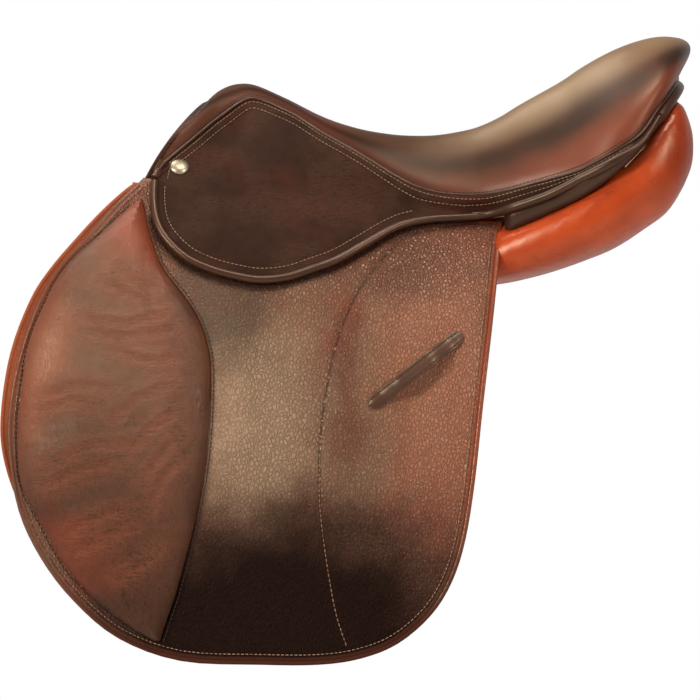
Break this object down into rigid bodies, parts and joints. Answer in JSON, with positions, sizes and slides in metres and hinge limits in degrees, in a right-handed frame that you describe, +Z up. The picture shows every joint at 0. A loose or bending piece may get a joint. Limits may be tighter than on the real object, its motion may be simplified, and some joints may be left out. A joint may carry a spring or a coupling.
{
  "type": "jumping saddle",
  "caption": "Forward-cut English jumping saddle with knee pads, lifting flaps and skirts, girth straps and stirrup bars.",
  "frame": {"origin": "on the centre plane, under the deepest point of the seat, level with the lowest line of the panels' middle", "axes": "+Z up, +X towards the horse's tail, -Y the horse's left side"},
  "size_m": [0.5853, 0.4054, 0.5285],
  "materials": {
    "seat_leather": "smooth grained leather, worn glossy",
    "skirt_leather": "dark smooth leather, satin",
    "flap_leather": "pebbled leather, burnished and mottled with use",
    "strap_leather": "plain bridle leather, satin",
    "panel_filling": "light tan leather casing, polished by use, filled with wool flock",
    "pad_filling": "soft creased leather over foam",
    "foam": "open-cell foam, matte",
    "webbing": "woven webbing, matte",
    "beech": "laminated beech, sealed",
    "steel": "forged and polished",
    "nail_metal": "pale domed metal, worn"
  },
  "bodies": {
    "saddle": {"left_skirt_upper": "skirt_leather", "left_skirt_rear_welt": "skirt_leather", "left_sweat_flap": "strap_leather", "left_panel": "panel_filling", "left_stirrup_bar": "steel", "left_catch_pin": "steel", "left_tree_rail": "beech", "left_spring_bar": "steel", "left_saddle_nail": "nail_metal", "right_skirt_upper": "skirt_leather", "right_skirt_rear_welt": "skirt_leather", "right_sweat_flap": "strap_leather", "right_panel": "panel_filling", "right_stirrup_bar": "steel", "right_catch_pin": "steel", "right_tree_rail": "beech", "right_spring_bar": "steel", "right_saddle_nail": "nail_metal", "seat_cover": "seat_leather", "seat_welt": "skirt_leather", "seat_foam": "foam", "seat_web": "webbing", "pommel_facing": "skirt_leather", "cantle_facing": "skirt_leather", "tree_head": "beech", "tree_cantle": "beech", "head_plate": "steel", "gullet_plate": "steel", "front_girth_web": "webbing", "rear_girth_web": "webbing"},
    "left_flap": {"left_flap": "flap_leather", "left_knee_pad": "pad_filling", "left_leather_keeper": "strap_leather"},
    "left_skirt": {"left_skirt_lower": "skirt_leather", "left_skirt_lower_welt": "skirt_leather"},
    "left_strap_1": {"left_girth_strap_1": "strap_leather"},
    "left_strap_2": {"left_girth_strap_2": "strap_leather", "left_buckle_guard": "strap_leather"},
    "left_strap_3": {"left_girth_strap_3": "strap_leather"},
    "left_catch": {"left_bar_catch": "steel"},
    "right_flap": {"right_flap": "flap_leather", "right_knee_pad": "pad_filling", "right_leather_keeper": "strap_leather"},
    "right_skirt": {"right_skirt_lower": "skirt_leather", "right_skirt_lower_welt": "skirt_leather"},
    "right_strap_1": {"right_girth_strap_1": "strap_leather"},
    "right_strap_2": {"right_girth_strap_2": "strap_leather", "right_buckle_guard": "strap_leather"},
    "right_strap_3": {"right_girth_strap_3": "strap_leather"},
    "right_catch": {"right_bar_catch": "steel"}
  },
  "joints": [
    {"name": "left_flap_lift", "type": "hinge", "parent": "saddle", "child": "left_flap", "pos_m": [-0.09, -0.09, 0.067], "axis": [-0.9936, 0, 0.1126], "range_deg": [0, 90]},
    {"name": "left_skirt_lift", "type": "hinge", "parent": "left_flap", "child": "left_skirt", "pos_m": [-0.09, -0.09, 0.067], "axis": [-0.9936, 0, 0.1126], "range_deg": [0, 40]},
    {"name": "left_strap_swing_1", "type": "hinge", "parent": "saddle", "child": "left_strap_1", "pos_m": [-0.10893, -0.09106, 0.04154], "axis": [0.0572, -0.8047, 0.5909], "range_deg": [-3, 3]},
    {"name": "left_strap_swing_2", "type": "hinge", "parent": "saddle", "child": "left_strap_2", "pos_m": [-0.07087, -0.09165, 0.03723], "axis": [0.0538, -0.7935, 0.6062], "range_deg": [-3, 3]},
    {"name": "left_strap_swing_3", "type": "hinge", "parent": "saddle", "child": "left_strap_3", "pos_m": [-0.03289, -0.09241, 0.03293], "axis": [0.055, -0.7791, 0.6245], "range_deg": [-3, 3]},
    {"name": "left_bar_catch", "type": "hinge", "parent": "saddle", "child": "left_catch", "pos_m": [-0.145, -0.08155, 0.045], "axis": [0, -1, 0], "range_deg": [0, 80]},
    {"name": "right_flap_lift", "type": "hinge", "parent": "saddle", "child": "right_flap", "pos_m": [-0.09, 0.09, 0.067], "axis": [0.9936, 0, -0.1126], "range_deg": [0, 90]},
    {"name": "right_skirt_lift", "type": "hinge", "parent": "right_flap", "child": "right_skirt", "pos_m": [-0.09, 0.09, 0.067], "axis": [0.9936, 0, -0.1126], "range_deg": [0, 40]},
    {"name": "right_strap_swing_1", "type": "hinge", "parent": "saddle", "child": "right_strap_1", "pos_m": [-0.10893, 0.09106, 0.04154], "axis": [0.0572, 0.8047, 0.5909], "range_deg": [-3, 3]},
    {"name": "right_strap_swing_2", "type": "hinge", "parent": "saddle", "child": "right_strap_2", "pos_m": [-0.07087, 0.09165, 0.03723], "axis": [0.0538, 0.7935, 0.6062], "range_deg": [-3, 3]},
    {"name": "right_strap_swing_3", "type": "hinge", "parent": "saddle", "child": "right_strap_3", "pos_m": [-0.03289, 0.09241, 0.03293], "axis": [0.055, 0.7791, 0.6245], "range_deg": [-3, 3]},
    {"name": "right_bar_catch", "type": "hinge", "parent": "saddle", "child": "right_catch", "pos_m": [-0.145, 0.08155, 0.045], "axis": [0, -1, 0], "range_deg": [0, 80]}
  ],
  "couplings": [
    {"joint": "left_strap_swing_1", "follows": "left_strap_swing_2", "ratio": 1},
    {"joint": "left_strap_swing_3", "follows": "left_strap_swing_2", "ratio": 1},
    {"joint": "right_strap_swing_1", "follows": "right_strap_swing_2", "ratio": 1},
    {"joint": "right_strap_swing_3", "follows": "right_strap_swing_2", "ratio": 1}
  ]
}
